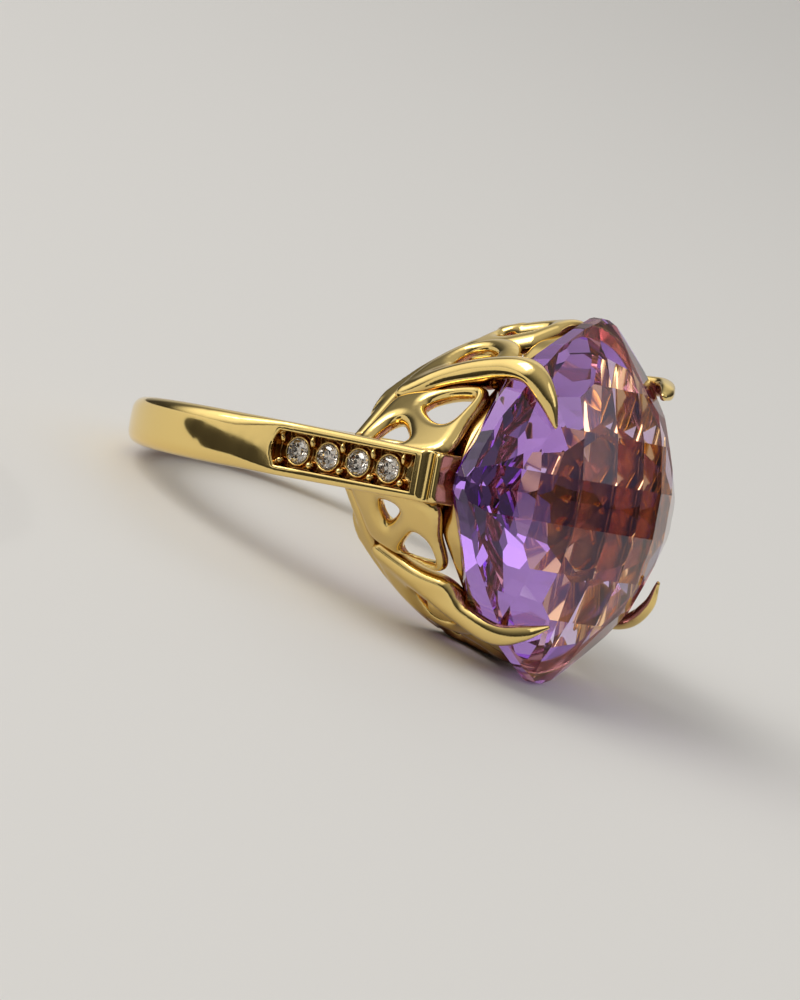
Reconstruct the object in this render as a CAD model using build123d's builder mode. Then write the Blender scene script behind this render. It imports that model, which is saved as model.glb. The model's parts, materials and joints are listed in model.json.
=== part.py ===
import os
from math import atan2, cos, degrees, pi, sin, sqrt

from build123d import *

os.makedirs("parts", exist_ok=True)

# Ring frame while modelling: X across the finger, Y along the finger, Z out through the centre stone,
# origin at the middle of the finger hole. The finished ring is laid on its side at the end.

# Band
finger_radius = 8.65
band_thickness = 1.7
palm_half_width = 1.01
equator_half_width = 1.29
shoulder_half_width = 1.15
shoulder_x = 9.7
shoulder_inner_x = 7.93
shoulder_start_z = 3.55
shoulder_blend = 1.5
shoulder_top_z = 13.0
ledge_z = 6.5

# Sunk channel and its small round stones, one row on each shoulder
channel_floor_x = 9.34
channel_half_width = 0.82
channel_bottom_z = 3.45
channel_top_z = 11.55
end_groove_z = 12.15
end_groove_width = 0.3
end_groove_depth = 0.18
accent_diameter = 1.15
accent_height = 0.72
accent_table = 0.58
accent_facets = 8
accent_crown = 0.3
accent_pavilion = 0.6
accent_levels = [4.7, 6.47, 8.24, 10.0]
grain_radius = 0.19
grain_y = 0.58
grain_levels = [3.82, 5.58, 7.35, 9.12, 10.88, 11.25]

# Centre stone: cushion set cornerwise
stone_half_side = 7.42
stone_side_bow = 0.033
stone_corner_along = 5.9
girdle_bottom_z = 13.35
girdle_top_z = 14.25
crown_top_z = 17.0
crown_drop = 0.042
crown_cell = 2.3
crown_keep = 0.88
pavilion_rings = [(0.64, 11.3), (0.32, 9.75)]
culet_z = 8.98

# Seat rail under the girdle
rail_half_side = 6.85
rail_corner_radius = 4.2
rail_thickness = 1.0
rail_bottom_z = 11.9
rail_top_z = 13.0

# Pierced gallery: outline at three heights as (z, end x, mid-side x and y, end y)
gallery_levels = [(6.5, 8.2, 4.6, 6.2), (9.0, 8.4, 4.85, 7.2), (11.9, 8.6, 5.0, 7.95)]
gallery_end_half_width = 1.0
gallery_thickness = 0.9
base_rail_thickness = 0.8
base_rail_top_z = 7.25
claw_base_start = -0.6
claw_base_end = 2.9
shoulder_end_along = -7.5
corner_end_along = 9.0

# Reach of the blocks that cut and trim, well outside the ring
far = 30.0

# Openings in one gallery side before rounding, as (along the side, height); the end plate's is (x, z)
opening_rounding = 0.28
cutter_start = 3.0
shank_side_opening = [(-4.75, 8.4), (-4.8, 9.6), (-3.9, 8.85), (-3.4, 8.4), (-3.9, 8.2)]
middle_opening = [(-2.4, 9.7), (-1.9, 10.1), (-1.8, 11.1), (-2.6, 11.2), (-3.2, 11.0), (-2.9, 10.3)]
claw_slot = [(0.7, 9.4), (1.5, 9.45), (1.9, 10.1), (1.4, 10.6), (0.8, 10.3)]
end_opening = [(1.4, 10.1), (1.9, 9.9), (2.0, 10.4), (1.7, 11.0), (1.3, 11.1)]

# Claws: (along the side, out from the middle, height, half width, half thickness), from the foot on
# the wall, past the seat rail and the stone's edge, to the tip on the crown
claw_hooked_back = [
    (-1.4, 6.7, 8.0, 0.45, 0.4),
    (-0.6, 7.3, 10.0, 0.45, 0.45),
    (-0.3, 7.7, 12.0, 0.5, 0.5),
    (-0.2, 7.9, 14.0, 0.6, 0.5),
    (-0.5, 7.2, 15.0, 0.55, 0.4),
    (-1.1, 6.2, 15.5, 0.3, 0.25),
]
claw_hooked_on = [
    (-1.2, 6.8, 8.0, 0.45, 0.4),
    (-0.2, 7.2, 10.0, 0.6, 0.45),
    (0.7, 7.7, 12.0, 0.6, 0.5),
    (1.6, 7.8, 14.0, 0.55, 0.5),
    (2.1, 7.1, 15.0, 0.45, 0.4),
    (2.5, 6.3, 15.4, 0.3, 0.25),
]
claw_axis_z = 9.0

pieces = {}


def keep(part, label):
    part.label = label
    pieces[label] = part


def cushion(scale, z):
    """Points round a square with bowed sides, turned so that two corners lie on Y."""
    points = []
    side_steps = 4
    for quarter in range(4):
        outward = quarter * pi / 2 + pi / 4
        for step in range(-side_steps, side_steps + 1):
            along = stone_corner_along * step / side_steps
            out = stone_half_side - stone_side_bow * along**2
            x = scale * (out * cos(outward) - along * sin(outward))
            y = scale * (out * sin(outward) + along * cos(outward))
            points.append((x, y, z))
    return points


def crown_points():
    """Corners of the square facets of a chequered dome, kept inside the outline."""
    points = []
    reach = 4
    for i in range(-reach, reach):
        for j in range(-reach, reach):
            x = (i + 0.5) * crown_cell
            y = (j + 0.5) * crown_cell
            out = (abs(x) + abs(y)) / sqrt(2)
            along = abs(abs(x) - abs(y)) / sqrt(2)
            side = out + stone_side_bow * along**2
            if side < crown_keep * stone_half_side:
                points.append((x, y, crown_top_z - crown_drop * (x * x + y * y)))
    return points


def side_frame(side_x, side_y, out):
    """Upright plane of one gallery side, facing outwards, with local Y up."""
    outward = Vector(side_x, side_y, 0).normalized()
    return Plane(origin=outward * out, x_dir=Vector(0, 0, 1).cross(outward), z_dir=outward)


def side_point(side_x, side_y, along, out, z):
    across = Vector(-side_x, side_y, 0).normalized() * along
    outward = Vector(side_x, side_y, 0).normalized() * out
    return across + outward + Vector(0, 0, z)


# ---- centre stone ----
with BuildPart() as centre_stone:
    stone_points = cushion(1.0, girdle_bottom_z) + cushion(1.0, girdle_top_z) + crown_points()
    for ring_scale, ring_z in pavilion_rings:
        stone_points += cushion(ring_scale, ring_z)
    stone_points.append((0, 0, culet_z))
    ConvexPolyhedron(stone_points)
keep(centre_stone.part, "centre_stone")

# ---- small round stones ----
def accent_stone(side, level):
    """Eight-sided brilliant with its table facing away from the finger."""
    points = [(side * (channel_floor_x - accent_height * accent_pavilion), 0, level)]
    for step in range(2 * accent_facets):
        angle = step * pi / accent_facets
        y = cos(angle) * accent_diameter / 2
        z = sin(angle) * accent_diameter / 2
        points.append((side * channel_floor_x, y, level + z))
    for step in range(accent_facets):
        angle = (step + 0.5) * 2 * pi / accent_facets
        y = cos(angle) * accent_table / 2
        z = sin(angle) * accent_table / 2
        points.append((side * (channel_floor_x + accent_height * accent_crown), y, level + z))
    return points


accents = []
for side, side_name in ((-1, "left"), (1, "right")):
    for number, level in enumerate(accent_levels, 1):
        with BuildPart() as diamond:
            ConvexPolyhedron(accent_stone(side, level))
        accents.append(diamond.part)
        keep(diamond.part, f"shoulder_diamond_{side_name}_{number}")

# ---- shank ----
outer_radius = finger_radius + band_thickness
tangent_x = sqrt(outer_radius**2 - shoulder_start_z**2)

with BuildPart() as shank:
    with BuildSketch(Plane.XZ):
        Circle(outer_radius)
        with BuildLine():
            Polyline(
                (tangent_x, shoulder_start_z),
                (shoulder_x, shoulder_start_z + shoulder_blend),
                (shoulder_x, shoulder_top_z),
                (0, shoulder_top_z),
                (0, shoulder_start_z),
                close=True,
            )
        make_face()
        mirror(about=Plane.YZ)
    extrude(amount=equator_half_width, both=True)
    with Locations(Rot(90, 0, 0)):
        Cylinder(finger_radius, far, mode=Mode.SUBTRACT)
    with Locations((0, 0, ledge_z + far / 2)):
        Box(2 * shoulder_inner_x, far, far, mode=Mode.SUBTRACT)
    # The band narrows a little towards the palm and towards the stone
    with BuildSketch(Plane.YZ):
        with BuildLine():
            Spline(
                (palm_half_width, -outer_radius),
                (equator_half_width, 0),
                (shoulder_half_width, shoulder_top_z),
            )
            Line((shoulder_half_width, shoulder_top_z), (0, shoulder_top_z))
            Line((0, shoulder_top_z), (0, -outer_radius))
            Line((0, -outer_radius), (palm_half_width, -outer_radius))
        make_face()
        mirror(about=Plane.YZ)
    extrude(amount=far, both=True, mode=Mode.INTERSECT)
    # Sunk channels, end grooves
    channel_height = channel_top_z - channel_bottom_z
    for side in (-1, 1):
        with Locations((side * (channel_floor_x + far / 2), 0, channel_bottom_z + channel_height / 2)):
            Box(far, 2 * channel_half_width, channel_height, mode=Mode.SUBTRACT)
        with Locations((side * (shoulder_x - end_groove_depth + far / 2), 0, end_groove_z)):
            Box(far, far, end_groove_width, mode=Mode.SUBTRACT)
        for level in grain_levels:
            for grain_side in (-1, 1):
                with Locations((side * channel_floor_x, grain_side * grain_y, level)):
                    Sphere(grain_radius)
    for accent in accents:
        add(accent, mode=Mode.SUBTRACT)
    add(centre_stone.part, mode=Mode.SUBTRACT)
keep(shank.part, "shank")

# ---- gallery wall, cut into pieces further down ----
def gallery_outline(level, shrink):
    """Outline of the gallery at one height, drawn in by the wall's thickness for its inside."""
    z, end_x, mid, end_y = level
    with BuildSketch(Plane.XY.offset(z)) as outline:
        with BuildLine():
            flat = gallery_end_half_width
            Spline((-end_x, flat), (-mid, mid), (0, end_y), (mid, mid), (end_x, flat))
            Line((end_x, flat), (end_x, -flat))
            Spline((end_x, -flat), (mid, -mid), (0, -end_y), (-mid, -mid), (-end_x, -flat))
            Line((-end_x, -flat), (-end_x, flat))
        make_face()
        if shrink:
            offset(amount=-shrink, kind=Kind.INTERSECTION, mode=Mode.REPLACE)
    return outline.sketch


with BuildPart() as wall:
    loft([gallery_outline(level, 0) for level in gallery_levels])
    loft([gallery_outline(level, gallery_thickness) for level in gallery_levels], mode=Mode.SUBTRACT)
    with Locations(Rot(90, 0, 0)):
        Cylinder(finger_radius, far, mode=Mode.SUBTRACT)

with BuildPart() as base_zone:
    with Locations(Rot(90, 0, 0)):
        Cylinder(finger_radius + base_rail_thickness, far)
    with Locations((0, 0, base_rail_top_z - far / 2)):
        Box(far, far, far)
    with Locations((0, 0, ledge_z - far / 2)):
        Box(far, far, far, mode=Mode.SUBTRACT)

with BuildPart() as base_rail:
    add(wall.part)
    add(base_zone.part, mode=Mode.INTERSECT)
    add(shank.part, mode=Mode.SUBTRACT)
keep(base_rail.part, "base_rail")

with BuildPart() as seat_rail:
    with BuildSketch(Plane.XY.offset(rail_bottom_z)):
        RectangleRounded(2 * rail_half_side, 2 * rail_half_side, rail_corner_radius, rotation=45)
        inner_side = rail_half_side - rail_thickness
        inner_corner = rail_corner_radius - rail_thickness
        RectangleRounded(2 * inner_side, 2 * inner_side, inner_corner, rotation=45, mode=Mode.SUBTRACT)
    extrude(amount=rail_top_z - rail_bottom_z)
    add(centre_stone.part, mode=Mode.SUBTRACT)
    add(shank.part, mode=Mode.SUBTRACT)
keep(seat_rail.part, "seat_rail")

# ---- claws, side panels and end plates ----
claw_names = {
    (-1, 1): ("claw_upper_left", "gallery_panel_upper_left", claw_hooked_back),
    (-1, -1): ("claw_lower_left", "gallery_panel_lower_left", claw_hooked_on),
    (1, -1): ("claw_lower_right", "gallery_panel_lower_right", claw_hooked_back),
    (1, 1): ("claw_upper_right", "gallery_panel_upper_right", claw_hooked_on),
}


def claw_section(side_x, side_y, path, index):
    along, out, z, half_width, half_thickness = path[index]
    here = side_point(side_x, side_y, along, out, z)
    before = path[max(index - 1, 0)]
    after = path[min(index + 1, len(path) - 1)]
    heading = side_point(side_x, side_y, *after[:3]) - side_point(side_x, side_y, *before[:3])
    outward = here - Vector(0, 0, claw_axis_z)
    across = heading.cross(outward)
    with BuildSketch(Plane(origin=here, x_dir=across, z_dir=heading)) as section:
        Ellipse(half_width, half_thickness)
    return section.sketch


def wall_zone(side_x, side_y, start, end):
    """Block that keeps the part of one gallery side between two distances along it."""
    middle = side_point(side_x, side_y, (start + end) / 2, far / 4, 0)
    heading = Vector(-side_x, side_y, 0)
    with BuildPart(Plane(origin=middle, x_dir=heading, z_dir=(0, 0, 1))) as zone:
        Box(end - start, far / 2, far)
    return zone.part


def side_openings(side_x, side_y, outlines):
    """Cutters for openings drawn on one gallery side, reaching through the wall."""
    with BuildPart() as cutter:
        with BuildSketch(side_frame(side_x, side_y, cutter_start)):
            for outline in outlines:
                Polygon(*[(side_x * side_y * along, z) for along, z in outline], align=None)
            offset(amount=opening_rounding)
        extrude(amount=far)
    return cutter.part


for (side_x, side_y), (claw_name, panel_name, path) in claw_names.items():
    with BuildPart() as claw_base:
        add(wall.part)
        add(wall_zone(side_x, side_y, claw_base_start, claw_base_end), mode=Mode.INTERSECT)
        add(base_zone.part, mode=Mode.SUBTRACT)
        add(side_openings(side_x, side_y, [claw_slot]), mode=Mode.SUBTRACT)

    with BuildPart() as claw:
        loft([claw_section(side_x, side_y, path, index) for index in range(len(path))])
        add(claw_base.part)
        add(centre_stone.part, mode=Mode.SUBTRACT)
        add(seat_rail.part, mode=Mode.SUBTRACT)
        add(base_rail.part, mode=Mode.SUBTRACT)
    keep(claw.part, claw_name)

    with BuildPart() as panel:
        add(wall.part)
        add(wall_zone(side_x, side_y, shoulder_end_along, claw_base_start), mode=Mode.INTERSECT)
        add(base_zone.part, mode=Mode.SUBTRACT)
        with Locations((0, side_y * (shoulder_half_width + far / 2), 0)):
            Box(far, far, far, mode=Mode.INTERSECT)
        add(side_openings(side_x, side_y, [shank_side_opening, middle_opening]), mode=Mode.SUBTRACT)
        add(shank.part, mode=Mode.SUBTRACT)
        add(claw.part, mode=Mode.SUBTRACT)
    keep(panel.part, panel_name)

for side_y, end_name in ((1, "gallery_end_upper"), (-1, "gallery_end_lower")):
    with BuildPart() as end_plate:
        add(wall.part)
        add(wall_zone(-1, side_y, claw_base_end, corner_end_along), mode=Mode.INTERSECT)
        add(wall_zone(1, side_y, claw_base_end, corner_end_along), mode=Mode.INTERSECT)
        add(base_zone.part, mode=Mode.SUBTRACT)
        with BuildSketch(Plane.XZ.offset(-side_y * cutter_start)):
            Polygon(*end_opening, align=None)
            mirror(about=Plane.YZ)
            offset(amount=opening_rounding)
        extrude(amount=-side_y * far, mode=Mode.SUBTRACT)
    keep(end_plate.part, end_name)

# ---- lay the ring on its side, resting on the stone's lower corner and the palm's edge ----
corner_out = stone_half_side - stone_side_bow * stone_corner_along**2
stone_corner = (corner_out + stone_corner_along) / sqrt(2)
stone_contact_z = (girdle_bottom_z + girdle_top_z) / 2
lean = atan2(stone_corner - palm_half_width, stone_contact_z + outer_radius)
lying = Rot(90 - degrees(lean), 0, 0)
whole = Compound(children=[part.moved(lying) for part in pieces.values()]).bounding_box()
footprint_middle = Pos(-whole.center().X, -whole.center().Y, -whole.min.Z)

for label, part in pieces.items():
    placed = part.moved(footprint_middle * lying)
    placed.label = label
    export_step(placed, f"parts/{label}.step")
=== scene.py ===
import json
from math import atan, cos, pi, radians, sin, sqrt, tan

import bmesh
import bpy
import numpy as np
from mathutils import Matrix, Vector


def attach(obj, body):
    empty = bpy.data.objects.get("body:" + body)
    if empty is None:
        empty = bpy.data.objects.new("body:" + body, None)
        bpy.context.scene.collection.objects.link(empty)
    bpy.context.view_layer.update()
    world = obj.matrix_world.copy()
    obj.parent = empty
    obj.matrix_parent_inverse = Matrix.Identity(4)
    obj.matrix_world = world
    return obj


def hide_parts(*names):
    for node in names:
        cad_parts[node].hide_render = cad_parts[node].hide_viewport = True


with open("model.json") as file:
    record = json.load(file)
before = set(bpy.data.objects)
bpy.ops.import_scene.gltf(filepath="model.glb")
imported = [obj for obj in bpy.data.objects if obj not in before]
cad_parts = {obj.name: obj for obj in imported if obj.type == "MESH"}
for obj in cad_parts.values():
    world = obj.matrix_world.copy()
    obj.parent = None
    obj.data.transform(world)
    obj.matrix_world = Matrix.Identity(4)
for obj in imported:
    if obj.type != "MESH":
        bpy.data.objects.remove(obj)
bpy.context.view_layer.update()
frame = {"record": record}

# ---------------------------------------------------------------- the ring's own frame
# Shapes are worked out in millimetres in the ring's own frame: X across the finger, Y along the finger,
# Z out through the centre stone, origin at the middle of the finger hole. The record's bore mount says
# where that frame stands in the row frame.
MM = 0.001
mount = frame["record"]["mounts"][0]
finger_axis = np.array(mount["axis"], float)
finger_axis /= np.linalg.norm(finger_axis)
hole_centre = np.array(mount["pos_m"], float)
finger_radius = mount["dims"]["r_mm"]
ring_x = np.array([1.0, 0.0, 0.0])
ring_z = np.cross(ring_x, finger_axis)
to_row = np.stack([ring_x, finger_axis, ring_z], axis=1)


def row_points(points):
    """Points in the ring's frame, in millimetres, as row-frame points in metres."""
    return hole_centre + (np.asarray(points, float) @ to_row.T) * MM


def row_direction(vector):
    return Vector(to_row @ np.asarray(vector, float))


# ---------------------------------------------------------------- dimensions, millimetres
# Band and shoulders
band_outer = 10.335
band_dome = 0.10
palm_half_width = 1.01
equator_half_width = 1.29
shoulder_narrowing = 0.14
shoulder_blend = 0.8
shoulder_x = 9.7
shoulder_inner_x = 7.93
shoulder_top_z = 13.0
ledge_z = 6.5
edge_rounding = 0.62
edge_rounding_lost = 0.36
hole_edge_rounding = 0.35

# Sunk channel, its collars and grains, and the flute across the shoulder's end
channel_floor_x = 9.12
channel_half_width = 0.82
channel_start_z = 3.5
channel_start_bow = 0.3
channel_end_z = 11.6
accent_girdle_x = 9.38
accent_levels = [4.7, 6.47, 8.24, 10.0]
accent_radius = 0.575
accent_table_x = 0.20
accent_culet_x = 0.50
accent_turn = 0.35
collar_width = 0.13
collar_foot_x = 8.9
seat_gap = 0.02
grain_levels = [3.82, 5.58, 7.35, 9.12, 10.88]
grain_y = 0.56
grain_rise = 0.12
grain_height = 0.40
flute_radius = 0.42
flute_out = 0.2
flute_z = 12.38

# Centre stone
stone_half_side = 7.42
stone_side_bow = 0.033
stone_corner_along = 5.9
girdle_bottom_z = 13.35
girdle_top_z = 14.1
crown_top_z = 16.9
crown_drop = 0.043
crown_cell = 2.2

# Seat rail
rail_half_side = 6.75
rail_corner_radius = 4.2
rail_thickness = 0.9
rail_bottom_z = 11.9
rail_top_z = 12.9
rail_half_height = 0.55

# Gallery wall: how far out its middle lies at the foot, how it flares upwards, and how it bends round
wall_foot_out = 6.29
wall_flare = 0.181
wall_flare_lost = 0.0116
wall_bend = 0.03
wall_foot_bend = 0.06
wall_bend_fade = 4.0
wall_shoulder_bend = 0.004
wall_corner_rounding = 1.2
panel_half_thickness = 0.46
arm_rounding = 0.62
opening_rounding = 0.1
shoulder_overlap = 0.12
claw_base_out = 0.14
claw_base_half_thickness = 0.48
claw_blend = 0.35
claw_axis_z = 9.0
end_half_thickness = 0.42
end_rounding = 0.5
end_lift = 0.42
end_lift_reach = 2.4
curl_x = 1.0
curl_z = 9.35
curl_radius = 0.42
curl_out = 0.2
curl_thickness = 0.27

# Base rail
base_rail_half_thickness = 0.42
base_rail_half_height = 0.35
base_rail_foot_z = 7.05
base_rail_foot_x = 3.5
base_rail_end_x = 8.15

finger_gap = 0.04
floor_gap = 0.03


# ---------------------------------------------------------------- sculpting with distance fields
def smooth_max(a, b, r):
    h = np.maximum(r - np.abs(a - b), 0)
    return np.maximum(a, b) + h * h / (4 * r)


def smooth_min(a, b, r):
    h = np.maximum(r - np.abs(a - b), 0)
    return np.minimum(a, b) - h * h / (4 * r)


CORNERS = [(0, 0, 0), (1, 0, 0), (0, 1, 0), (1, 1, 0), (0, 0, 1), (1, 0, 1), (0, 1, 1), (1, 1, 1)]
EDGES = [(0, 1), (2, 3), (4, 5), (6, 7), (0, 2), (1, 3), (4, 6), (5, 7), (0, 4), (1, 5), (2, 6), (3, 7)]


def sample_field(field, low, high, step):
    """The field's values on a lattice, worked out slab by slab to keep memory small."""
    axes = [np.arange(a, b + step, step) for a, b in zip(low, high)]
    values = np.empty([len(axis) for axis in axes], np.float32)
    ys, zs = np.meshgrid(axes[1], axes[2], indexing="ij")
    for i, x in enumerate(axes[0]):
        points = np.stack([np.full(ys.size, x), ys.ravel(), zs.ravel()], axis=1)
        values[i] = field(points).reshape(ys.shape)
    return values


def surface_net(values, low, step):
    """Vertices and quads of the zero surface of a sampled field."""
    inside = values < 0
    shape = [n - 1 for n in values.shape]
    count = np.zeros(shape, np.int8)
    for dx, dy, dz in CORNERS:
        count += inside[dx:dx + shape[0], dy:dy + shape[1], dz:dz + shape[2]]
    active = (count > 0) & (count < 8)
    cells = np.argwhere(active)
    corner_values = np.stack([values[cells[:, 0] + c[0], cells[:, 1] + c[1], cells[:, 2] + c[2]]
                              for c in CORNERS], axis=1).astype(float)
    total = np.zeros((len(cells), 3))
    crossings = np.zeros(len(cells))
    corner_offsets = np.array(CORNERS, float)
    for a, b in EDGES:
        va, vb = corner_values[:, a], corner_values[:, b]
        crossed = (va < 0) != (vb < 0)
        t = np.where(crossed, va / np.where(crossed, va - vb, 1), 0)[:, None]
        point = corner_offsets[a] + t * (corner_offsets[b] - corner_offsets[a])
        total += np.where(crossed[:, None], point, 0)
        crossings += crossed
    vertices = np.asarray(low) + (cells + total / crossings[:, None]) * step
    index = np.full(shape, -1, np.int64)
    index[active] = np.arange(len(cells))
    quads = []
    for axis in range(3):
        u, v = (axis + 1) % 3, (axis + 2) % 3
        first = [slice(0, n) for n in values.shape]
        second = [slice(0, n) for n in values.shape]
        first[axis] = slice(0, values.shape[axis] - 1)
        second[axis] = slice(1, values.shape[axis])
        a, b = inside[tuple(first)], inside[tuple(second)]
        edges = np.argwhere(a != b)
        keep = (edges[:, u] > 0) & (edges[:, v] > 0)
        keep &= (edges[:, u] < values.shape[u] - 1) & (edges[:, v] < values.shape[v] - 1)
        edges = edges[keep]
        leaving = a[tuple(edges.T)]
        ring = []
        for du, dv in ((-1, -1), (0, -1), (0, 0), (-1, 0)):
            cell = edges.copy()
            cell[:, u] += du
            cell[:, v] += dv
            ring.append(index[tuple(cell.T)])
        ring = np.stack(ring, axis=1)
        ring[~leaving] = ring[~leaving][:, ::-1]
        quads.append(ring)
    return vertices, np.concatenate(quads)


def settle(vertices, field, rounds=3):
    """Moves vertices on to the exact zero surface, a little at a time."""
    nudge = 0.004
    longest_move = 0.04
    for _ in range(rounds):
        value = field(vertices)
        gradient = np.empty_like(vertices)
        for axis in range(3):
            shift = np.zeros(3)
            shift[axis] = nudge
            gradient[:, axis] = (field(vertices + shift) - field(vertices - shift)) / (2 * nudge)
        length = np.maximum((gradient**2).sum(axis=1), 0.2)
        move = gradient * (value / length)[:, None]
        size = np.linalg.norm(move, axis=1, keepdims=True)
        vertices = vertices - move * np.minimum(1, longest_move / np.maximum(size, 1e-9))
    return vertices


def sculpt(field, low, high, step):
    """Vertices and quads of a field's zero surface inside a box."""
    values = sample_field(field, low, high, step)
    vertices, quads = surface_net(values, low, step)
    return settle(vertices, field), quads


def turned(vertices):
    """The vertices after half a turn about the ring's Z axis."""
    return vertices * np.array([-1.0, -1.0, 1.0])


def link_object(name, data):
    obj = bpy.data.objects.new(name, data)
    bpy.context.scene.collection.objects.link(obj)
    return obj


def add_piece(name, vertices, faces, material, smooth):
    """Finished mesh that takes the place of the CAD node of the same name."""
    mesh = bpy.data.meshes.new(name)
    mesh.from_pydata(row_points(vertices).tolist(), [], faces)
    mesh.validate()
    if smooth:
        mesh.polygons.foreach_set("use_smooth", [True] * len(mesh.polygons))
    mesh.materials.append(material)
    obj = link_object(name, mesh)
    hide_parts(name)
    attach(obj, "root")


def gold_piece(name, vertices, faces):
    add_piece(name, vertices, faces.tolist(), gold, smooth=True)


# ---------------------------------------------------------------- materials
def new_material(name):
    material = bpy.data.materials.new(name)
    material.use_nodes = True
    nodes = material.node_tree.nodes
    return material, nodes, material.node_tree.links, nodes["Principled BSDF"]


def gold_material():
    material, nodes, links, shader = new_material("polished_gold")
    shader.inputs["Metallic"].default_value = 1.0
    texture = nodes.new("ShaderNodeTexCoord")
    # Fine polishing haze and handling marks
    haze = nodes.new("ShaderNodeTexNoise")
    haze.inputs["Scale"].default_value = 900.0
    haze.inputs["Detail"].default_value = 6.0
    links.new(texture.outputs["Object"], haze.inputs["Vector"])
    roughness = nodes.new("ShaderNodeMapRange")
    roughness.inputs["From Min"].default_value = 0.35
    roughness.inputs["From Max"].default_value = 0.7
    roughness.inputs["To Min"].default_value = 0.05
    roughness.inputs["To Max"].default_value = 0.13
    links.new(haze.outputs["Fac"], roughness.inputs["Value"])
    links.new(roughness.outputs["Result"], shader.inputs["Roughness"])
    # Painted shade: the base colour darkens to brown in recesses, where the ambient occlusion node finds them
    # sheltered
    shelter = nodes.new("ShaderNodeAmbientOcclusion")
    shelter.inputs["Distance"].default_value = 0.0011
    shelter.samples = 8
    painted_shade_ramp = nodes.new("ShaderNodeMapRange")
    painted_shade_ramp.inputs["From Min"].default_value = 0.30
    painted_shade_ramp.inputs["From Max"].default_value = 0.85
    links.new(shelter.outputs["AO"], painted_shade_ramp.inputs["Value"])
    # Dark brown painted shade colour, mixed into the gold's own colour where recesses are sheltered
    painted_shade_mix = nodes.new("ShaderNodeMix")
    painted_shade_mix.data_type = "RGBA"
    painted_shade_mix.inputs["A"].default_value = (0.30, 0.13, 0.03, 1)
    painted_shade_mix.inputs["B"].default_value = (0.90, 0.67, 0.25, 1)
    links.new(painted_shade_ramp.outputs["Result"], painted_shade_mix.inputs["Factor"])
    links.new(painted_shade_mix.outputs["Result"], shader.inputs["Base Color"])
    bump = nodes.new("ShaderNodeBump")
    bump.inputs["Strength"].default_value = 0.03
    bump.inputs["Distance"].default_value = 0.00004
    links.new(haze.outputs["Fac"], bump.inputs["Height"])
    links.new(bump.outputs["Normal"], shader.inputs["Normal"])
    return material


def amethyst_material():
    material, nodes, links, shader = new_material("amethyst")
    shader.inputs["Transmission Weight"].default_value = 1.0
    shader.inputs["Roughness"].default_value = 0.0
    shader.inputs["IOR"].default_value = 1.544
    shader.inputs["Base Color"].default_value = (1.0, 1.0, 1.0, 1)
    absorb = nodes.new("ShaderNodeVolumeAbsorption")
    absorb.inputs["Color"].default_value = (0.66, 0.24, 0.94, 1)
    absorb.inputs["Density"].default_value = 88.0
    links.new(absorb.outputs["Volume"], nodes["Material Output"].inputs["Volume"])
    return material


def diamond_material():
    material, nodes, links, shader = new_material("diamond")
    shader.inputs["Transmission Weight"].default_value = 1.0
    shader.inputs["Roughness"].default_value = 0.0
    shader.inputs["IOR"].default_value = 2.417
    shader.inputs["Base Color"].default_value = (0.74, 0.69, 0.62, 1)
    return material


def matt_material(name, colour, roughness):
    material, nodes, links, shader = new_material(name)
    shader.inputs["Base Color"].default_value = (*colour, 1)
    shader.inputs["Roughness"].default_value = roughness
    return material


gold = gold_material()
amethyst = amethyst_material()
diamond = diamond_material()


# ---------------------------------------------------------------- shank
def shank_half_width(z):
    """Half the shoulder's width at a height above the equator."""
    return equator_half_width - shoulder_narrowing * (z / shoulder_top_z) ** 2


def shank_field(p):
    x, y, z = p.T
    ax, ay = np.abs(x), np.abs(y)
    rho = np.hypot(x, z)
    low_part = equator_half_width - (equator_half_width - palm_half_width) * (z / band_outer) ** 2
    half = np.where(z < 0, low_part, shank_half_width(z))
    dome = band_dome * (ay / half) ** 2 * np.clip(1 - (z - 1) / 2.5, 0, 1)
    shoulders = smooth_max(ax - shoulder_x, -z, 0.4)
    outer = smooth_min(rho - band_outer, shoulders, shoulder_blend) + dome
    # The band's edges are soft and the shoulders' are crisp
    crispness = np.clip((z - 1.5) / 2.5, 0, 1)
    body = smooth_max(outer, ay - half, edge_rounding - edge_rounding_lost * crispness)
    body = smooth_max(body, finger_radius - rho, hole_edge_rounding)
    gallery_space = np.maximum(ax - shoulder_inner_x, ledge_z - z)
    body = smooth_max(body, -gallery_space, 0.15)
    body = smooth_max(body, z - shoulder_top_z, 0.14)
    start = channel_start_z + channel_start_bow * (ay / channel_half_width) ** 2
    channel = np.maximum(np.maximum(channel_floor_x - ax, ay - channel_half_width),
                         np.maximum(start - z, z - channel_end_z))
    body = smooth_max(body, -channel, 0.08)
    flute = np.hypot(ax - shoulder_x - flute_out, z - flute_z) - flute_radius
    body = smooth_max(body, -flute, 0.06)
    for level in accent_levels:
        across = np.hypot(y, z - level)
        collar = np.maximum(across - accent_radius - collar_width, ax - accent_girdle_x - seat_gap)
        body = np.minimum(body, np.maximum(collar, collar_foot_x - ax))
        seat = np.maximum(across - accent_radius - seat_gap, collar_foot_x - ax)
        body = smooth_max(body, -seat, 0.05)
    # Grains are bars along one edge of the channel and beads along the other
    for level in grain_levels:
        bars = -np.sign(x) * y > 0
        reach = np.where(bars, 0.32, 0.23)
        breadth = np.where(bars, 0.15, 0.22)
        rise = (ax - channel_floor_x - grain_rise) / grain_height
        grain = np.sqrt(rise**2 + ((ay - grain_y) / reach) ** 2 + ((z - level) / breadth) ** 2)
        body = smooth_min(body, (grain - 1) * 0.2, 0.06)
    return body


coarse = 1.0
shank_step = 0.07 * coarse
gallery_step = 0.075 * coarse
vertices, faces = sculpt(shank_field, (-10.6, -1.5, -10.6), (10.6, 1.5, 13.3), shank_step)
gold_piece("shank", vertices, faces)


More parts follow.
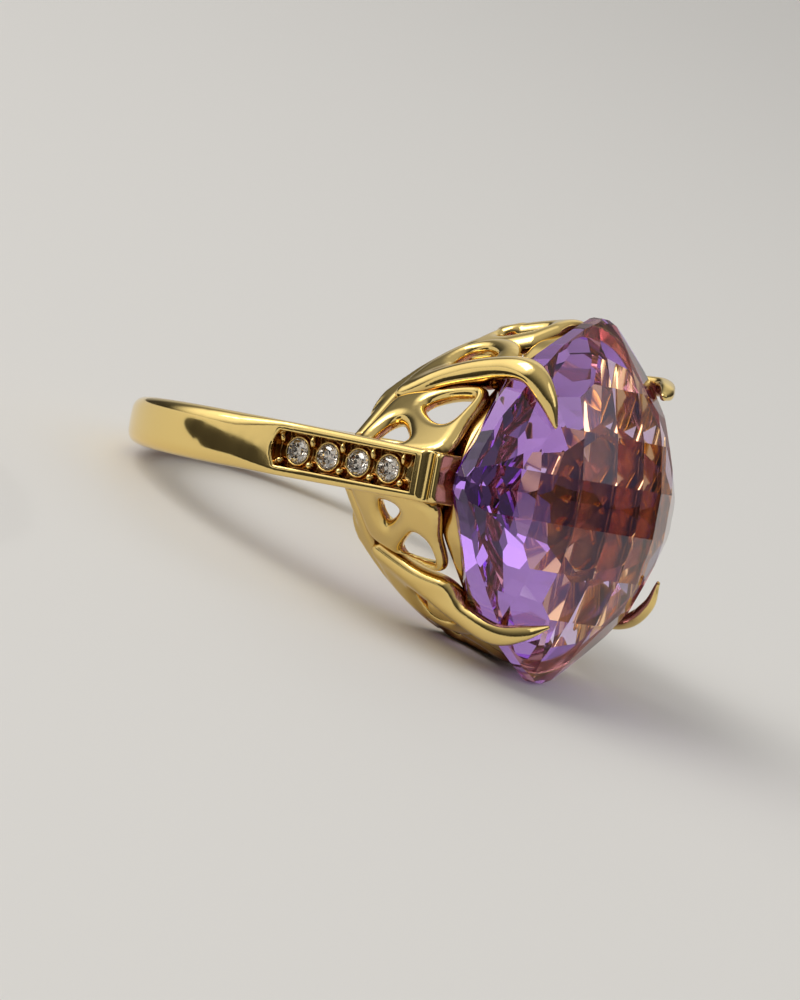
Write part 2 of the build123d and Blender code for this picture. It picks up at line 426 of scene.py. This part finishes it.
# ---------------------------------------------------------------- gallery
# Only the pieces left of the middle are sculpted; half a turn about Z gives the ones on the right. side_y is
# 1 for the upper end and -1 for the lower end.
def side_coordinates(p, side_y):
    """Along the left-hand side towards the end corner, straight out from the ring's middle, and height."""
    x, y, z = p.T
    along = (x + side_y * y) / sqrt(2)
    out = (side_y * y - x) / sqrt(2)
    return along, out, z


def wall_out(along, z):
    """How far out the gallery wall's middle lies at a place along one side."""
    rise = z - ledge_z
    flat = wall_foot_out + wall_flare * rise - wall_flare_lost * rise**2
    bend = wall_bend + wall_foot_bend * np.exp(-rise / wall_bend_fade)
    return flat - np.where(along > 0, bend, wall_shoulder_bend) * along**2


def wall_offset(along, out, z):
    """Distance outwards from the wall's middle surface, rounding the end corner."""
    return smooth_max(out - wall_out(along, z), along - wall_out(out, z), wall_corner_rounding)


def smooth_outline(points, steps=6):
    """Closed Catmull-Rom curve through the points."""
    points = np.array(points, float)
    n = len(points)
    curve = []
    for i in range(n):
        a, b, c, d = points[i - 1], points[i], points[(i + 1) % n], points[(i + 2) % n]
        for step in range(steps):
            t = step / steps
            curve.append(0.5 * (2 * b + (c - a) * t + (2 * a - 5 * b + 4 * c - d) * t**2
                                + (3 * b - a - 3 * c + d) * t**3))
    return np.array(curve)


def outline_distance(u, v, outline):
    """Signed distance to a closed outline in the plane, negative inside."""
    best = np.full(u.shape, 1e9)
    inside = np.zeros(u.shape, bool)
    for a, b in zip(outline, np.roll(outline, -1, axis=0)):
        edge = b - a
        du, dv = u - a[0], v - a[1]
        t = np.clip((du * edge[0] + dv * edge[1]) / (edge @ edge), 0, 1)
        best = np.minimum(best, (du - t * edge[0]) ** 2 + (dv - t * edge[1]) ** 2)
        crosses = (a[1] > v) != (b[1] > v)
        if abs(edge[1]) > 1e-12:
            inside ^= crosses & (u < a[0] + (v - a[1]) / edge[1] * edge[0])
    return np.where(inside, -1, 1) * np.sqrt(best)


# Outlines on one gallery side as (along, height). The two hands of the pattern repeat after half a turn.
panel_outlines = {
    "hooked_back": smooth_outline([(-5.8, 7.2), (-3.6, 7.1), (-1.8, 7.5), (-1.2, 9.8), (-0.9, 12.0), (-3.0, 12.4),
                                   (-5.4, 12.4), (-6.0, 10.0)]),
    "hooked_on": smooth_outline([(-5.8, 7.3), (-3.4, 7.1), (-1.9, 7.5), (-1.2, 10.0), (-1.2, 11.6), (-3.0, 12.0),
                                 (-5.2, 12.4), (-6.0, 10.0)]),
}
shank_openings = {
    "hooked_back": smooth_outline([(-4.9, 8.1), (-4.0, 8.1), (-3.6, 8.6), (-4.1, 9.4), (-5.0, 9.9)]),
    "hooked_on": smooth_outline([(-4.7, 9.1), (-4.0, 8.7), (-3.3, 8.8), (-3.8, 9.5), (-4.6, 10.0)]),
}
middle_openings = {
    "hooked_back": smooth_outline([(-2.4, 9.4), (-1.7, 10.3), (-1.6, 11.6), (-2.6, 11.7), (-3.5, 11.4),
                                   (-3.3, 10.4)]),
    "hooked_on": smooth_outline([(-1.7, 9.1), (-3.1, 10.4), (-3.0, 11.1), (-2.3, 11.3), (-1.5, 11.1),
                                 (-1.4, 10.0)]),
}
claw_base_outlines = {
    "hooked_back": smooth_outline([(-2.0, 7.4), (-1.0, 9.5), (-0.6, 12.1), (0.6, 12.5), (2.5, 11.6), (2.9, 10.0),
                                   (1.8, 8.4), (-0.8, 7.2)]),
    "hooked_on": smooth_outline([(-1.5, 7.4), (-0.9, 9.5), (-0.6, 11.5), (0.5, 12.4), (2.4, 12.5), (3.1, 10.4),
                                 (2.0, 8.4), (-0.6, 7.3)]),
}
claw_slots = {
    "hooked_back": smooth_outline([(0.4, 9.2), (1.4, 9.2), (1.8, 10.1), (1.3, 11.0), (0.5, 10.7)]),
    "hooked_on": smooth_outline([(0.5, 9.2), (0.9, 10.3), (1.6, 11.2), (2.3, 10.6), (2.0, 9.5)]),
}


def below_floor(p):
    """Positive where the lying ring would reach into the floor, at either end."""
    lift = hole_centre[2] / MM + to_row[2, 2] * p[:, 2] - to_row[2, 1] * np.abs(p[:, 1])
    return floor_gap - lift


def finger_clear(p):
    """Positive inside the finger hole."""
    return finger_radius + finger_gap - np.hypot(p[:, 0], p[:, 2])


def panel_field(p, side_y, hand):
    along, out, z = side_coordinates(p, side_y)
    g = wall_offset(along, out, z)
    flat = outline_distance(along, z, panel_outlines[hand])
    flat = smooth_max(flat, -outline_distance(along, z, shank_openings[hand]), opening_rounding)
    flat = smooth_max(flat, -outline_distance(along, z, middle_openings[hand]), opening_rounding)
    body = smooth_max(np.abs(g) - panel_half_thickness, flat, arm_rounding)
    body = smooth_max(body, finger_clear(p), 0.15)
    return np.maximum(body, shank_half_width(z) - shoulder_overlap - side_y * p[:, 1])


# Claws as (along, out, height, half width, half thickness): foot on the wall, past the seat rail and the
# stone's edge, and over to the tip on the crown
claw_paths = {
    "hooked_back": [
        (-1.8, 6.5, 7.6, 0.45, 0.42),
        (-0.7, 7.1, 9.3, 0.60, 0.50),
        (-0.1, 7.7, 12.0, 0.65, 0.52),
        (-0.1, 7.9, 14.1, 0.68, 0.48),
        (-0.6, 7.0, 15.1, 0.52, 0.38),
        (-1.2, 5.8, 15.6, 0.12, 0.10),
    ],
    "hooked_on": [
        (-1.3, 6.6, 7.7, 0.44, 0.40),
        (-0.3, 7.1, 9.7, 0.58, 0.46),
        (0.7, 7.6, 12.0, 0.60, 0.50),
        (1.5, 7.8, 13.9, 0.58, 0.50),
        (1.9, 7.1, 14.9, 0.46, 0.38),
        (2.5, 5.8, 15.4, 0.12, 0.10),
    ],
}
# The two claws on the right are finished by hand a little differently above the rail
right_claw_tips = {
    "hooked_back": [
        (-0.3, 7.7, 12.0, 0.48, 0.46),
        (-0.5, 7.9, 14.0, 0.42, 0.38),
        (-1.2, 7.3, 15.1, 0.36, 0.30),
        (-1.9, 6.3, 15.6, 0.12, 0.10),
    ],
    "hooked_on": [
        (0.5, 7.7, 12.0, 0.56, 0.48),
        (0.7, 7.9, 14.2, 0.52, 0.43),
        (1.2, 7.1, 15.2, 0.44, 0.36),
        (1.6, 6.3, 15.6, 0.20, 0.18),
    ],
}


def spline(points, steps):
    """Open Catmull-Rom curve through rows of numbers."""
    points = np.array(points, float)
    padded = np.vstack([2 * points[0] - points[1], points, 2 * points[-1] - points[-2]])
    rows = []
    for i in range(1, len(padded) - 2):
        a, b, c, d = padded[i - 1:i + 3]
        for step in range(steps):
            t = step / steps
            rows.append(0.5 * (2 * b + (c - a) * t + (2 * a - 5 * b + 4 * c - d) * t**2
                               + (3 * b - a - 3 * c + d) * t**3))
    rows.append(points[-1])
    return np.array(rows)


def tusk_path(path, side_y):
    """Middle line, cross directions and radii of a claw."""
    rows = spline(path, 9)
    across = np.array([1.0, side_y, 0]) / sqrt(2)
    outward = np.array([-1.0, side_y, 0]) / sqrt(2)
    middle = rows[:, :1] * across + rows[:, 1:2] * outward + rows[:, 2:3] * np.array([0, 0, 1.0])
    heading = np.gradient(middle, axis=0)
    heading /= np.linalg.norm(heading, axis=1, keepdims=True)
    away = middle - np.array([0, 0, claw_axis_z])
    away -= (away * heading).sum(axis=1, keepdims=True) * heading
    away /= np.linalg.norm(away, axis=1, keepdims=True)
    cross = np.cross(heading, away)
    return middle, cross, away, rows[:, 3], rows[:, 4]


def tusk_distance(p, path):
    """Distance to a tapering claw with a soft ridge along its outer side."""
    middle, cross, away, half_width, half_thickness = path
    nearest = np.full(len(p), 1e9)
    place = np.zeros(len(p))
    for i in range(len(middle) - 1):
        a, edge = middle[i], middle[i + 1] - middle[i]
        t = np.clip(((p - a) @ edge) / (edge @ edge), 0, 1)
        gap = ((p - a - t[:, None] * edge) ** 2).sum(axis=1)
        closer = gap < nearest
        nearest = np.where(closer, gap, nearest)
        place = np.where(closer, i + t, place)
    i = np.minimum(place.astype(int), len(middle) - 2)
    t = (place - i)[:, None]
    offset = p - (middle[i] * (1 - t) + middle[i + 1] * t)
    side = cross[i] * (1 - t) + cross[i + 1] * t
    up = away[i] * (1 - t) + away[i + 1] * t
    t = t[:, 0]
    ra = half_width[i] * (1 - t) + half_width[i + 1] * t
    rb = half_thickness[i] * (1 - t) + half_thickness[i + 1] * t
    u = (offset * side).sum(axis=1)
    v = (offset * up).sum(axis=1)
    rest = np.sqrt(np.maximum((offset**2).sum(axis=1) - u**2 - v**2, 0))
    power = np.where(v > 0, 1.55, 2.0)
    size = (np.abs(u / ra) ** power + np.abs(v / rb) ** power + 1e-9) ** (1 / power)
    size = np.hypot(size, rest / rb)
    return (size - 1) * np.minimum(ra, rb)


def stone_clear(p, gap):
    """Positive inside the stone's envelope, grown by a gap."""
    along = np.abs(p[:, 0] + p[:, 1]) / sqrt(2)
    out = np.abs(p[:, 0] - p[:, 1]) / sqrt(2)
    z = p[:, 2]
    side = np.maximum(along, out) + stone_side_bow * np.minimum(along, out) ** 2 - stone_half_side
    girdle = side * 0.95
    below = (girdle + (girdle_bottom_z - z) * 1.33) / 1.66
    crown = (z - (crown_top_z - crown_drop * (p[:, 0] ** 2 + p[:, 1] ** 2))) * 0.93
    return gap - np.maximum(np.maximum(girdle, below), crown)


def claw_field(p, side_y, hand, path):
    along, out, z = side_coordinates(p, side_y)
    g = wall_offset(along, out, z)
    flat = outline_distance(along, z, claw_base_outlines[hand])
    flat = smooth_max(flat, -outline_distance(along, z, claw_slots[hand]), opening_rounding)
    base = smooth_max(np.abs(g - claw_base_out) - claw_base_half_thickness, flat, arm_rounding)
    body = smooth_min(base, tusk_distance(p, path), claw_blend)
    body = smooth_max(body, finger_clear(p), 0.15)
    body = smooth_max(body, below_floor(p), 0.1)
    return smooth_max(body, stone_clear(p, 0.0), 0.05)


def end_field(p, lift):
    """Pierced end plate with a small curl, between the two claws of one end."""
    x, y, z = p.T
    along, out = (y - np.abs(x)) / sqrt(2), (y + np.abs(x)) / sqrt(2)
    g = wall_offset(along, out, z) - lift * np.exp(-((x / end_lift_reach) ** 2))
    flat = outline_distance(np.abs(x), z, end_outline)
    flat = smooth_max(flat, -outline_distance(np.abs(x), z, end_opening), opening_rounding)
    body = smooth_max(np.abs(g) - end_half_thickness, flat, end_rounding)
    curl = np.hypot(np.abs(x) - curl_x, z - curl_z)
    curl = np.hypot(np.abs(curl - curl_radius), g - curl_out) - curl_thickness
    body = smooth_min(body, curl, 0.12)
    if lift == 0:
        body = smooth_max(body, below_floor(p), 0.1)
    return smooth_max(body, finger_clear(p), 0.15)


end_outline = np.array([(-1.0, 8.9), (1.6, 8.9), (3.3, 8.3), (3.6, 9.2), (3.3, 10.6), (2.7, 11.9), (1.6, 12.6),
                        (-1.0, 12.7)])
end_opening = smooth_outline([(1.5, 9.7), (2.2, 9.6), (2.3, 10.4), (1.7, 11.5), (1.1, 11.4)])


def base_rail_field(p):
    """Lower frame of the gallery, following the finger hole over the top."""
    x, y, z = np.abs(p[:, 0]), np.abs(p[:, 1]), p[:, 2]
    along, out = (y - x) / sqrt(2), (y + x) / sqrt(2)
    g = wall_offset(along, out, z)
    rho = np.hypot(x, z)
    over = np.abs(rho - finger_radius - base_rail_half_height) - base_rail_half_height
    foot = np.abs(z - base_rail_foot_z) - base_rail_half_height
    strip = smooth_min(over, np.maximum(foot, base_rail_foot_x - x), 0.5)
    body = smooth_max(np.abs(g) - base_rail_half_thickness, strip, 0.3)
    body = smooth_max(body, finger_clear(p), 0.1)
    body = np.maximum(body, ledge_z - z)
    return np.maximum(body, x - base_rail_end_x)


def seat_rail_field(p):
    """Rounded square rail under the stone's girdle."""
    along = np.abs(p[:, 0] + p[:, 1]) / sqrt(2)
    out = np.abs(p[:, 0] - p[:, 1]) / sqrt(2)
    middle = rail_half_side - rail_thickness / 2
    flat = rail_half_side - rail_corner_radius
    radius = middle - flat
    u, v = np.maximum(along - flat, 0), np.maximum(out - flat, 0)
    ring = np.hypot(u, v) + np.minimum(np.maximum(along, out) - flat, 0) - radius
    z_middle = (rail_bottom_z + rail_top_z) / 2
    height = np.abs(p[:, 2] - z_middle) - rail_half_height
    body = smooth_max(np.abs(ring) - rail_thickness / 2, height, 0.3)
    return smooth_max(body, stone_clear(p, 0.02), 0.05)


# Each piece is looked for in a box a little larger than itself. A hand of the pattern stands at one end on
# the left and at the other end on the right.
hands = [(1, "hooked_back", "upper", "lower"), (-1, "hooked_on", "lower", "upper")]
for side_y, hand, left_end, right_end in hands:
    low_y, high_y = sorted((side_y * 0.9, side_y * 5.8))
    vertices, faces = sculpt(lambda p: panel_field(p, side_y, hand),
                             (-9.1, low_y, 6.6), (-3.4, high_y, 12.9), gallery_step)
    gold_piece(f"gallery_panel_{left_end}_left", vertices, faces)
    gold_piece(f"gallery_panel_{right_end}_right", turned(vertices), faces)

    low_y, high_y = sorted((side_y * 2.2, side_y * 8.9))
    left_path = claw_paths[hand]
    right_path = left_path[:2] + right_claw_tips[hand]
    for claw, rows in ((f"claw_{left_end}_left", left_path), (f"claw_{right_end}_right", right_path)):
        path = tusk_path(rows, side_y)
        vertices, faces = sculpt(lambda p: claw_field(p, side_y, hand, path),
                                 (-8.0, low_y, 6.9), (-1.0, high_y, 17.0), gallery_step)
        placed = turned(vertices) if claw.endswith("right") else vertices
        gold_piece(claw, placed, faces)

for end_name, lift in (("gallery_end_upper", end_lift), ("gallery_end_lower", 0.0)):
    vertices, faces = sculpt(lambda p: end_field(p, lift), (-4.2, 4.5, 8.0), (4.2, 9.0, 13.1), gallery_step)
    placed = turned(vertices) if lift == 0 else vertices
    gold_piece(end_name, placed, faces)
vertices, faces = sculpt(base_rail_field, (-8.6, -7.0, 6.3), (8.6, 7.0, 9.8), gallery_step)
gold_piece("base_rail", vertices, faces)
vertices, faces = sculpt(seat_rail_field, (-8.3, -8.3, 11.6), (8.3, 8.3, 13.3), gallery_step)
gold_piece("seat_rail", vertices, faces)


# ---------------------------------------------------------------- stones, cut facet by facet
def cut_stone(planes, half_box):
    """Block cut down by planes given as (normal, distance), every face left flat."""
    block = bmesh.new()
    bmesh.ops.create_cube(block, size=2 * half_box)
    for normal, distance in planes:
        normal = Vector(normal)
        length = normal.length
        everything = block.verts[:] + block.edges[:] + block.faces[:]
        cut = bmesh.ops.bisect_plane(block, geom=everything, dist=1e-5, plane_co=normal * (distance / length**2),
                                     plane_no=normal, clear_outer=True)
        rim = [item for item in cut["geom_cut"] if isinstance(item, bmesh.types.BMEdge)]
        if rim:
            bmesh.ops.contextual_create(block, geom=rim)
    bmesh.ops.remove_doubles(block, verts=block.verts[:], dist=1e-4)
    block.verts.index_update()
    vertices = np.array([vertex.co[:] for vertex in block.verts])
    faces = [tuple(vertex.index for vertex in face.verts) for face in block.faces]
    block.free()
    return vertices, faces


def outline_reach(angle):
    """Distance from the middle to the upright plane that touches the stone's outline at an angle."""
    off_side = abs((angle % (pi / 2)) - pi / 4)
    along = min(tan(off_side) / (2 * stone_side_bow), stone_corner_along)
    return (stone_half_side - stone_side_bow * along**2) * cos(off_side) + along * sin(off_side)


def sloped(angle, slope, reach, z):
    """Plane through a rim point, leaning back by slope from upright; negative slopes face down."""
    normal = (cos(slope) * cos(angle), cos(slope) * sin(angle), sin(slope))
    return normal, cos(slope) * reach + sin(slope) * z


def centre_stone_planes():
    quarter_turn = pi / 2
    planes = []
    # Upright girdle: one flat on each corner and seven along each bowed side
    flats_each_way = 3
    flat_turn = radians(6.6)
    for quarter in range(4):
        angles = [quarter * quarter_turn]
        for i in range(-flats_each_way, flats_each_way + 1):
            angles.append(quarter * quarter_turn + pi / 4 + i * flat_turn)
        planes += [sloped(angle, 0, outline_reach(angle), girdle_top_z) for angle in angles]
    # Bevels above the girdle, as (turn from the side's middle, slope, how far below the girdle's top)
    bevels = [(0, 42, 0), (-14, 50, 0.15), (14, 50, 0.15), (-45, 52, 0.25)]
    for quarter in range(4):
        for turn, slope, drop in bevels:
            angle = quarter * quarter_turn + pi / 4 + radians(turn)
            planes.append(sloped(angle, radians(slope), outline_reach(angle), girdle_top_z - drop))
    # Pavilion: staggered tiers as (inner reach, steepness, facets), each shallower than the one above it
    tiers = [(0.80, 1.15, 12), (0.58, 0.70, 12), (0.36, 0.48, 12), (0.15, 0.34, 8), (0.0, 0.22, 8)]
    reach, z = 1.0, girdle_bottom_z
    for tier, (inner, steepness, count) in enumerate(tiers):
        for i in range(count):
            angle = 2 * pi * (i + 0.5 * (tier % 2)) / count
            planes.append(sloped(angle, -atan(1 / steepness), outline_reach(angle) * reach, z))
        z -= steepness * (reach - inner) * stone_half_side
        reach = inner
    # Chequered crown: square facets on a shallow dome
    cells = 4
    for i in range(-cells, cells + 1):
        for j in range(-cells, cells + 1):
            x, y = i * crown_cell, j * crown_cell
            square = x * x + y * y
            if square < stone_half_side**2 * 1.3:
                normal = (2 * crown_drop * x, 2 * crown_drop * y, 1.0)
                planes.append((normal, crown_top_z + crown_drop * square))
    return planes


def stone_piece(name, vertices, faces, material):
    add_piece(name, vertices, faces, material, smooth=False)


block_middle_z = 12.0
stone_planes = [(normal, distance - normal[2] * block_middle_z) for normal, distance in centre_stone_planes()]
vertices, faces = cut_stone(stone_planes, 20)
stone_piece("centre_stone", vertices + np.array([0, 0, block_middle_z]), faces, amethyst)


def accent_planes():
    """Round brilliant about the X axis, its table at positive X."""
    girdle_facets = 16
    main_facets = 8
    bezel_lean = sin(radians(40)) + 0.12
    planes = [((1.0, 0, 0), accent_table_x), ((-1.0, 0, 0), accent_culet_x)]
    for i in range(girdle_facets):
        angle = 2 * pi * i / girdle_facets
        planes.append(((0, cos(angle), sin(angle)), accent_radius))
        planes.append(((bezel_lean, cos(angle), sin(angle)), accent_radius))
    for i in range(main_facets):
        angle = 2 * pi * (i + 0.5) / main_facets
        planes.append(((1.35, cos(angle), sin(angle)), accent_radius * 1.06 + 0.02))
        planes.append(((-1.2, cos(angle), sin(angle)), accent_radius * 1.04))
    return planes


accent_vertices, accent_faces = cut_stone(accent_planes(), 3)
for side, side_name in ((-1, "left"), (1, "right")):
    # A mirrored stone needs its faces wound the other way
    side_faces = [face if side > 0 else face[::-1] for face in accent_faces]
    for number, level in enumerate(accent_levels, 1):
        spin = accent_turn * number
        x, y, z = accent_vertices.T
        placed = np.stack([side * (x + accent_girdle_x),
                           y * cos(spin) - z * sin(spin),
                           y * sin(spin) + z * cos(spin) + level], axis=1)
        stone_piece(f"shoulder_diamond_{side_name}_{number}", placed, side_faces, diamond)


# ---------------------------------------------------------------- stage
def flat_sheet(name, corners, material):
    """One flat face of the stage, not part of the ring."""
    mesh = bpy.data.meshes.new(name)
    mesh.from_pydata(corners, [], [tuple(range(len(corners)))])
    mesh.materials.append(material)
    obj = link_object(name, mesh)
    return obj


floor_reach = 1.2
floor_corners = [(-floor_reach, -floor_reach, 0), (floor_reach, -floor_reach, 0),
                 (floor_reach, floor_reach, 0), (-floor_reach, floor_reach, 0)]
flat_sheet("floor", floor_corners, matt_material("pale_floor", (0.80, 0.79, 0.77), 0.75))

# Round black card beside the band that shows only in the gold's reflections
card_x, card_y, card_z = -0.034, 0.012, 0.0003
card_radius = 0.016
card_steps = 48
card_rim = [(card_x + card_radius * cos(2 * pi * i / card_steps),
             card_y + card_radius * sin(2 * pi * i / card_steps), card_z) for i in range(card_steps)]
card = flat_sheet("reflection_flag", card_rim, matt_material("reflection_flag", (0.015, 0.012, 0.01), 1.0))
card.visible_camera = False
card.visible_diffuse = False
card.visible_transmission = False
card.visible_shadow = False


def area_light(name, place, target, size, power, colour):
    light = bpy.data.lights.new(name, "AREA")
    light.shape = "RECTANGLE"
    light.size, light.size_y = size
    light.energy = power
    light.color = colour
    obj = link_object(name, light)
    obj.location = place
    obj.rotation_euler = (target - Vector(place)).to_track_quat("-Z", "Y").to_euler()


# Camera, placed by its direction in the ring's frame; distance and shift in millimetres
view_turn = radians(36.6)
view_tilt = radians(1.0)
view_roll = radians(10.5)
view_distance = 209
view_shift = (2.9, -2.1)
towards = np.array([-cos(view_turn) * cos(view_tilt), sin(view_tilt), sin(view_turn) * cos(view_tilt)])
level_right = np.cross([0, 1.0, 0], towards)
level_right /= np.linalg.norm(level_right)
level_up = np.cross(towards, level_right)
right = cos(view_roll) * level_right + sin(view_roll) * level_up
upwards = -sin(view_roll) * level_right + cos(view_roll) * level_up
camera_data = bpy.data.cameras.new("camera")
camera_data.lens = 155.3
camera_data.sensor_fit = "VERTICAL"
camera_data.sensor_height = 36.0
camera_data.clip_start = 0.01
camera = link_object("camera", camera_data)
eye = row_points([towards * view_distance + right * view_shift[0] + upwards * view_shift[1]])[0]
axes = Matrix([row_direction(right), row_direction(upwards), row_direction(towards)]).transposed()
camera.matrix_world = Matrix.Translation(Vector(eye)) @ axes.to_4x4()
bpy.context.scene.camera = camera

ring_middle = Vector((0, 0, 0.008))
area_light("window", (-0.30, 0.24, 0.36), ring_middle, (0.30, 0.30), 0.95, (1.0, 0.97, 0.92))
area_light("fill", (0.25, -0.30, 0.30), ring_middle, (0.25, 0.25), 0.16, (0.95, 0.97, 1.0))


def studio_world():
    """Dim walls, a lighter ceiling and one broad bright window, with a weaker one across from it."""
    world = bpy.data.worlds.new("studio")
    world.use_nodes = True
    nodes, links = world.node_tree.nodes, world.node_tree.links
    background = nodes["Background"]
    background.inputs["Color"].default_value = (1.0, 0.98, 0.95, 1)
    direction = nodes.new("ShaderNodeTexCoord").outputs["Generated"]

    def lobe(towards, start, end, low, high):
        """Brightness that rises from low to high as a direction nears the lobe's middle."""
        dot = nodes.new("ShaderNodeVectorMath")
        dot.operation = "DOT_PRODUCT"
        dot.inputs[1].default_value = Vector(towards).normalized()
        links.new(direction, dot.inputs[0])
        ramp = nodes.new("ShaderNodeMapRange")
        ramp.interpolation_type = "SMOOTHSTEP"
        for name, value in (("From Min", start), ("From Max", end), ("To Min", low), ("To Max", high)):
            ramp.inputs[name].default_value = value
        links.new(dot.outputs["Value"], ramp.inputs["Value"])
        return ramp.outputs["Result"]

    def sum_of(first, second):
        add = nodes.new("ShaderNodeMath")
        add.operation = "ADD"
        links.new(first, add.inputs[0])
        links.new(second, add.inputs[1])
        return add.outputs["Value"]

    ceiling = lobe((0, 0, 1), 0.1, 0.95, 0.05, 0.50)
    window = lobe((-0.55, 0.62, 0.55), 0.72, 0.95, 0.0, 1.1)
    far_window = lobe((0.8, 0.5, 0.35), 0.78, 0.97, 0.0, 0.5)
    links.new(sum_of(sum_of(ceiling, window), far_window), background.inputs["Strength"])
    return world


scene = bpy.context.scene
scene.world = studio_world()
scene.cycles.max_bounces = 24
scene.cycles.transmission_bounces = 24
scene.cycles.glossy_bounces = 12
scene.view_settings.view_transform = "Standard"
